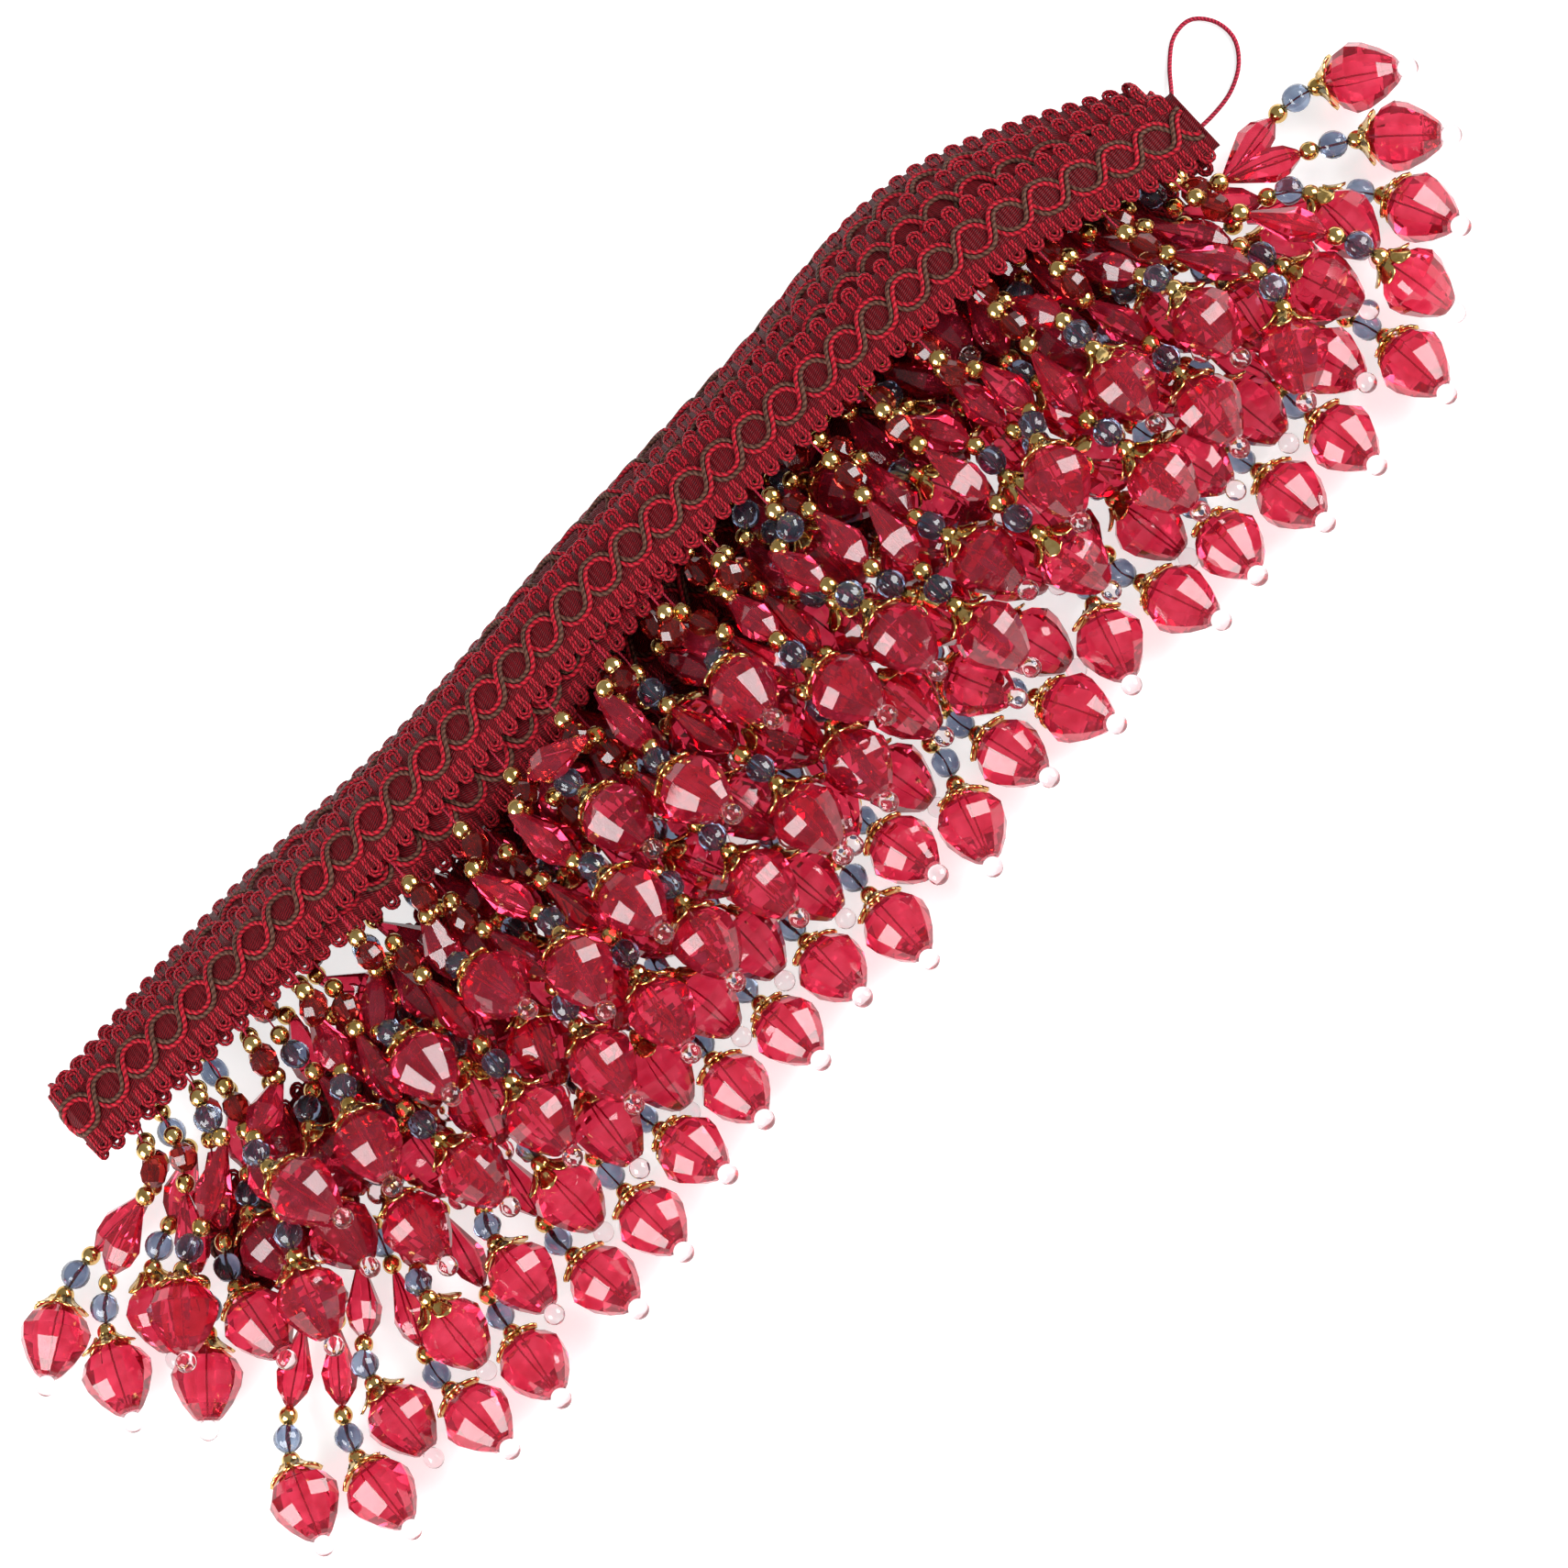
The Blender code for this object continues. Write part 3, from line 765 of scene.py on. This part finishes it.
def gold_material():
    """Polished brass-coloured plating, with faint tarnish."""
    material, tree, shader = new_material("gold")
    place = tree.nodes.new("ShaderNodeTexCoord")
    noise = node(tree, "ShaderNodeTexNoise", Scale=GOLD_NOISE, Detail=3.0)
    tree.links.new(place.outputs["Object"], noise.inputs["Vector"])
    colour = ramp(tree, noise.outputs["Fac"], ((0.3, (0.55, 0.33, 0.08)), (0.7, (0.83, 0.6, 0.24))))
    tree.links.new(colour, shader.inputs["Base Color"])
    shader.inputs["Metallic"].default_value = 1.0
    shader.inputs["Roughness"].default_value = 0.14
    return material


look_camera()

# Each yarn's dark colour is mostly painted shade in the grooves between its plies
crimson_yarn = yarn_material("crimson_yarn", (0.06, 0.001, 0.003), (0.4, 0.009, 0.022), 1.3)
picot_yarn = yarn_material("picot_yarn", (0.055, 0.001, 0.003), (0.36, 0.008, 0.02), 1.1)
# The ground yarn is painted much darker than the picot yarn: painted shade, where the ground lies
# under and between the picots and chain
ground_shade_yarn = yarn_material("ground_shade_yarn", (0.015, 0.0005, 0.0012), (0.13, 0.002, 0.006), 0.5)
brown_yarn = yarn_material("brown_yarn", (0.02, 0.006, 0.004), (0.11, 0.045, 0.03), 1.3)
thread_yarn = yarn_material("thread_yarn", (0.12, 0.004, 0.01), (0.42, 0.02, 0.05), 0.8)
ruby = glass_material("ruby", (0.6, 0.02, 0.055), (0.78, 0.05, 0.11), 0.88)
garnet = glass_material("garnet", (0.24, 0.008, 0.01), (0.42, 0.03, 0.02), 0.9)
denim = glass_material("denim_glass", (0.1, 0.13, 0.22), (0.3, 0.38, 0.52), 0.95, 0.05)
clear = glass_material("clear_glass", (0.95, 0.82, 0.85), (1.0, 0.94, 0.95), 1.0)
gold = gold_material()

braid = Braid()


def keep(item, slot, *nodes):
    """A piece rides on the part and stands for nodes, which it hides. Its slot is not used."""
    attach(item, "root")
    if nodes:
        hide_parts(*nodes)
    return item


# The ground of the braid: crosswise ribs
def make_ground():
    step = RIB_PITCH / 4
    along = np.arange(0, braid.length, step)
    rib = 0.5 - 0.5 * np.cos(2 * math.pi * along / RIB_PITCH)
    half = GROUND_THICK / 2 * (0.62 + 0.38 * rib)
    outs = np.array([GROUND_HALF, 3.9, 0.0, -3.9, -GROUND_HALF])
    top = np.stack([braid.at(along, o, half) for o in outs], 1)
    low = np.stack([braid.at(along, o, -half) for o in outs[::-1]], 1)
    rings = np.concatenate([top, low], 1)
    count, each = rings.shape[:2]
    k = np.arange(each)
    a = np.arange(count - 1)[:, None] * each
    quads = np.stack([a + k, a + each + k, a + each + (k + 1) % each, a + (k + 1) % each], -1)
    across_mm = np.concatenate([outs, outs[::-1]])
    after = np.roll(across_mm, -1)
    lane = np.broadcast_to(np.stack([across_mm, across_mm, after, after], -1), (count - 1, each, 4))
    row = along[:, None]
    run = np.stack(np.broadcast_arrays(row[:-1], row[1:], row[1:], row[:-1]), -1)
    run = np.broadcast_to(run, (count - 1, each, 4))
    uv = np.stack([run / RIB_PITCH / 2, lane], -1).reshape(-1, 2)
    last = (count - 1) * each
    caps = [tuple(range(each)), tuple(range(last, last + each))[::-1]]
    # The ground takes the dark yarn that paints the shade under the picots and chain
    item = make_piece("braid_ground", [(rings.reshape(-1, 3), quads, uv, caps)], ground_shade_yarn)
    return keep(item, "gimp", "braid")


def make_picots(side, name):
    """Loops of two parallel yarns that stand out from one edge of the braid."""
    starts = np.arange(PICOT_PITCH / 2, braid.length - PICOT_PITCH / 2, PICOT_PITCH)
    batches = []
    for width, tip in ((1.45, BRAID_WIDTH / 2 - PICOT_YARN), (0.75, BRAID_WIDTH / 2 - 1.1)):
        turn = np.linspace(0, math.pi, 7)
        out = [PICOT_ROOT] + list(tip - width + width * np.sin(turn)) + [PICOT_ROOT]
        run = [-width * 0.7] + list(-width * np.cos(turn)) + [width * 0.7]
        lift = np.array([0.5] + [0.25] * len(turn) + [0.5])
        along = np.clip(starts[:, None] + np.array(run)[None], 0, braid.length)
        out = np.broadcast_to(np.array(out)[None] * side, along.shape)
        for face in (1, -1):
            lines = braid.at(along, out, lift[None] * face * (1.0 if width > 1 else 0.8))
            lines[..., 2] = np.maximum(lines[..., 2], PICOT_YARN + FLOOR_GAP)
            batches.append(tubes(lines, PICOT_YARN, 4, closed=True))
    return keep(make_piece(name, batches, picot_yarn), "gimp")


def make_chain(colour, name, material):
    """The yarns of one colour in the interlaced chain, on both faces of the braid."""
    along = np.arange(0.5, braid.length - 0.5, CHAIN_PITCH / 10)
    phase = math.pi * along / CHAIN_PITCH
    batches = []
    for face in (1, -1):
        for pair in (1, -1):
            beside = CHAIN_YARN * (1 if (pair > 0) == (colour == "brown") else -1)
            wave = np.cos(phase)
            full = 1.4 * wave - 0.4 * wave**3
            heading = np.gradient(CHAIN_REACH * full, along)
            stretch = np.sqrt(1 + heading**2)
            out = pair * CHAIN_REACH * full + beside * stretch
            up = CHAIN_HEIGHT + pair * CHAIN_CROSSING * np.sin(phase)
            lines = braid.at(along, out, up * face)
            lines[..., 2] = np.maximum(lines[..., 2], CHAIN_YARN + FLOOR_GAP)
            batches.append(tubes(lines[None], CHAIN_YARN, 6))
    return keep(make_piece(name, batches, material), "gimp")


# The beads
def bead_templates():
    """Each kind of bead about its axis X, from its start, in millimetres."""
    found = {"cap": petal_cap()}
    shapes = dict(gold=GOLD_SHAPE, garnet=GARNET_SHAPE, blue=BLUE_SHAPE, ball=BALL_SHAPE)
    faceted = dict(drop=(DROP_ROWS, DROP_SIDES), big=(BIG_ROWS, BIG_SIDES))
    for kind, length, width in STRAND_BEADS:
        if kind in faceted:
            profile, sides = faceted[kind]
            found[kind] = lathe([(place * length, r) for place, r in profile], sides)
        else:
            rows, sides, hole = shapes[kind]
            flute = BLUE_FLUTE_DEPTH if kind == "blue" else 0.0
            profile = ball_profile(length, width, rows, hole)
            found[kind] = lathe(profile, sides, flute, BLUE_FLUTES)
    return found


def petal_grid(middle, lift):
    """One face of a petal round an angle: rows from its root to its tip, lifted off the bead."""
    grid = []
    for i in range(PETAL_ROWS):
        t = i / (PETAL_ROWS - 1)
        swell = math.sin(math.pi * (0.12 + 0.72 * t)) ** 0.7
        spread = math.radians(PETAL_SPREAD) * swell * (1 - 0.35 * t)
        if i == PETAL_ROWS - 1:
            spread = math.radians(PETAL_TIP_SPREAD)
        radius = 1.7 + 3.7 * t**1.15
        place = -1.3 + 2.9 * t**0.8
        for j in range(PETAL_LANES):
            w = 2 * j / (PETAL_LANES - 1) - 1
            ridge = RIM_RIDGE * math.exp(-(((abs(w) - 1) * 3) ** 2))
            ridge += MIDDLE_RIDGE * math.exp(-((w * 3) ** 2))
            off = lift + (ridge if lift else 0.0)
            out = radius + 0.25 + off * 0.7
            turn = middle + spread * w
            grid.append((place - off * 0.6, out * math.cos(turn), out * math.sin(turn)))
    return np.array(grid)


def petal_cap():
    """Pressed petals over the crown of the big bead, round a small collar."""
    collar, quads, caps = lathe(COLLAR, COLLAR_SIDES)
    points, quads = [collar], [quads]
    lanes, each = PETAL_LANES, PETAL_ROWS * PETAL_LANES
    rim = [i * lanes for i in range(PETAL_ROWS)]
    rim += [(PETAL_ROWS - 1) * lanes + j for j in range(1, lanes)]
    rim += [i * lanes + lanes - 1 for i in range(PETAL_ROWS - 2, -1, -1)]
    rim += list(range(lanes - 2, 0, -1))
    for petal in range(PETALS):
        base = len(collar) + petal * 2 * each
        middle = petal * 2 * math.pi / PETALS
        points += [petal_grid(middle, lift) for lift in (PETAL_THICK, 0.0)]
        for i in range(PETAL_ROWS - 1):
            for j in range(lanes - 1):
                a = base + i * lanes + j
                quads.append(np.array([(a, a + lanes, a + lanes + 1, a + 1)]))
                b = a + each
                quads.append(np.array([(b, b + 1, b + lanes + 1, b + lanes)]))
        for a, b in zip(rim, rim[1:] + rim[:1]):
            quads.append(np.array([(base + a, base + a + each, base + b + each, base + b)]))
    return np.concatenate(points), np.concatenate(quads), caps


def bead_place(kind, at, length, places, line):
    """Where a bead starts and where it heads, on the line of its strand."""

    def point(place):
        return np.array([np.interp(place, places, line[:, k]) for k in range(3)])

    if kind in ("big", "ball"):
        heading = line[-2] - line[-3]
        before = BIG_WIDEST * BIG_LENGTH
        if kind == "ball":
            before = BALL_OVERLAP - (1 - BIG_WIDEST) * BIG_LENGTH
        return line[-3] - unit(heading) * before, heading
    start, end = point(at), point(at + length)
    middle = (start + end) / 2 if kind == "drop" else point(at + length / 2)
    heading = end - start
    return middle - unit(heading) * length / 2, heading


def make_beads(rows, lines):
    """All the beads of all the strands, one object for each kind."""
    rng = np.random.default_rng(SEED + 1)
    places, _ = strand_spheres()
    kinds = ("gold", "garnet", "blue", "drop", "big", "ball", "cap")
    found = {kind: [] for kind in kinds}
    threads = []
    for (number, x, _), line in zip(rows, lines):
        at = STRAND_START
        for kind, length, _ in STRAND_BEADS:
            start, heading = bead_place(kind, at, length, places, line)
            turn = rng.uniform(0, 2 * math.pi)
            swapped = kind == "garnet" and rng.uniform() < BLUE_SHARE
            found["blue" if swapped else kind].append((start, heading, turn))
            if kind == "big":
                found["cap"].append((start, heading, turn + CAP_TURN))
            at += length
        back, height, front, _ = lay_at(LAYS[number], x)
        root = np.array([x, back, height]) + across(front) * (BRAID_WIDTH / 2 - 1.5)
        end_of_thread = start - unit(heading)
        threads.append(np.concatenate([root[None], line[:-2], end_of_thread[None]]))
    fringes = [f"fringe_{number + 1}" for number in range(len(LAYS))]
    looks = dict(
        gold=("spacer_beads", gold, True),
        garnet=("garnet_beads", garnet, False),
        blue=("fluted_beads", denim, True),
        drop=("drop_beads", ruby, False),
        big=("tip_beads", ruby, False),
        ball=("end_beads", clear, True),
        cap=("petal_caps", gold, True),
    )
    templates = bead_templates()
    for kind in kinds:
        name, material, rounded = looks[kind]
        batch = placed(templates[kind], found[kind])
        item = make_piece(name, [batch], material, smooth_shade=rounded)
        keep(item, "beads", *(fringes if kind == "big" else ()))
    batch = tubes(np.array(threads), THREAD_YARN, 5)
    keep(make_piece("bead_threads", [batch], thread_yarn), "thread")


def make_thread_loop():
    """The loop of sewing thread at the right-hand end."""
    route = np.array(THREAD_ROUTE)
    stations = np.arange(len(route))
    at = np.linspace(0, len(route) - 1, THREAD_POINTS)
    line = np.stack([smooth(stations, route[:, k], at) for k in range(3)], -1)
    item = make_piece("thread_loop_yarn", [tubes(line[None], THREAD_DIAMETER / 2, 10)], thread_yarn)
    keep(item, "thread", "thread_loop")


ground = make_ground()
picots = [make_picots(1, "front_picots"), make_picots(-1, "back_picots")]
chains = [
    make_chain("crimson", "crimson_chain", crimson_yarn),
    make_chain("brown", "brown_chain", brown_yarn),
]
strand_rows, strand_lines = settled_strands()
make_beads(strand_rows, strand_lines)
make_thread_loop()


# The floor and the light
def make_floor():
    mesh = bpy.data.meshes.new("floor")
    half = FLOOR_HALF
    corners = [(-half, -half, 0), (half, -half, 0), (half, half, 0), (-half, half, 0)]
    mesh.from_pydata(corners, [], [(0, 1, 2, 3)])
    material, _, shader = new_material("floor")
    shader.inputs["Base Color"].default_value = (FLOOR_SHADE, FLOOR_SHADE, FLOOR_SHADE, 1)
    shader.inputs["Roughness"].default_value = 0.8
    shader.inputs["Emission Color"].default_value = (1, 1, 1, 1)
    shader.inputs["Emission Strength"].default_value = FLOOR_GLOW
    mesh.materials.append(material)
    item = bpy.data.objects.new("floor", mesh)
    bpy.context.collection.objects.link(item)


def make_light(name, direction):
    """A square softbox in a direction from the hank, facing it."""
    data = bpy.data.lights.new(name, "AREA")
    data.shape = "SQUARE"
    data.size = SOFTBOX_SIZE
    data.energy = SOFTBOX_POWER
    item = bpy.data.objects.new(name, data)
    item.location = Vector(unit(direction) * SOFTBOX_DISTANCE)
    item.rotation_euler = Vector(unit(direction)).to_track_quat("Z", "Y").to_euler()
    bpy.context.collection.objects.link(item)


make_floor()
lift = math.radians(CAMERA_ELEVATION)
to_camera = np.array([0, -math.cos(lift), math.sin(lift)])
off_axis = math.radians(SOFTBOX_OFF_AXIS)
for side, name in ((-1, "softbox_left"), (1, "softbox_right")):
    sideways = np.array([side, 0.0, 0.0])
    make_light(name, math.cos(off_axis) * to_camera + math.sin(off_axis) * sideways)
world = bpy.data.worlds.new("studio")
world.use_nodes = True
world.node_tree.nodes["Background"].inputs["Color"].default_value = (1, 1, 1, 1)
world.node_tree.nodes["Background"].inputs["Strength"].default_value = WORLD_LIGHT
bpy.context.scene.world = world
bpy.context.scene.view_settings.view_transform = "Standard"
